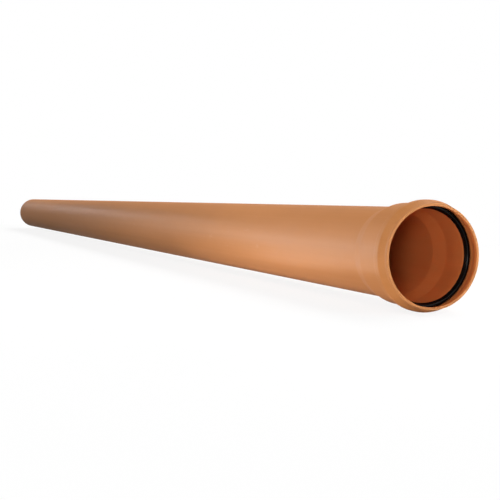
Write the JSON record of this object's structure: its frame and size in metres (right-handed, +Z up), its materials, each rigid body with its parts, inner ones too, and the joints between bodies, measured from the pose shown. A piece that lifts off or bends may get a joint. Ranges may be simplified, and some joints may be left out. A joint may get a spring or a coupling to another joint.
{
  "type": "plastic drainage pipe",
  "caption": "Straight plastic drainage pipe with a beaded push-fit socket at one end, a rubber seal ring inside it and a chamfered plain end.",
  "frame": {"origin": "on the ground under the middle of the pipe: the centre of the bounding box's bottom, 63.85 mm below the pipe's axis", "axes": "+X along the pipe, out of the socket mouth; +Z up; +Y across the pipe"},
  "size_m": [3, 0.1276, 0.1275],
  "materials": {
    "orange_brown_pvc": "satin",
    "seal_rubber": "satin"
  },
  "bodies": {
    "root": {"pipe": "orange_brown_pvc", "seal_ring": "seal_rubber"}
  },
  "joints": []
}
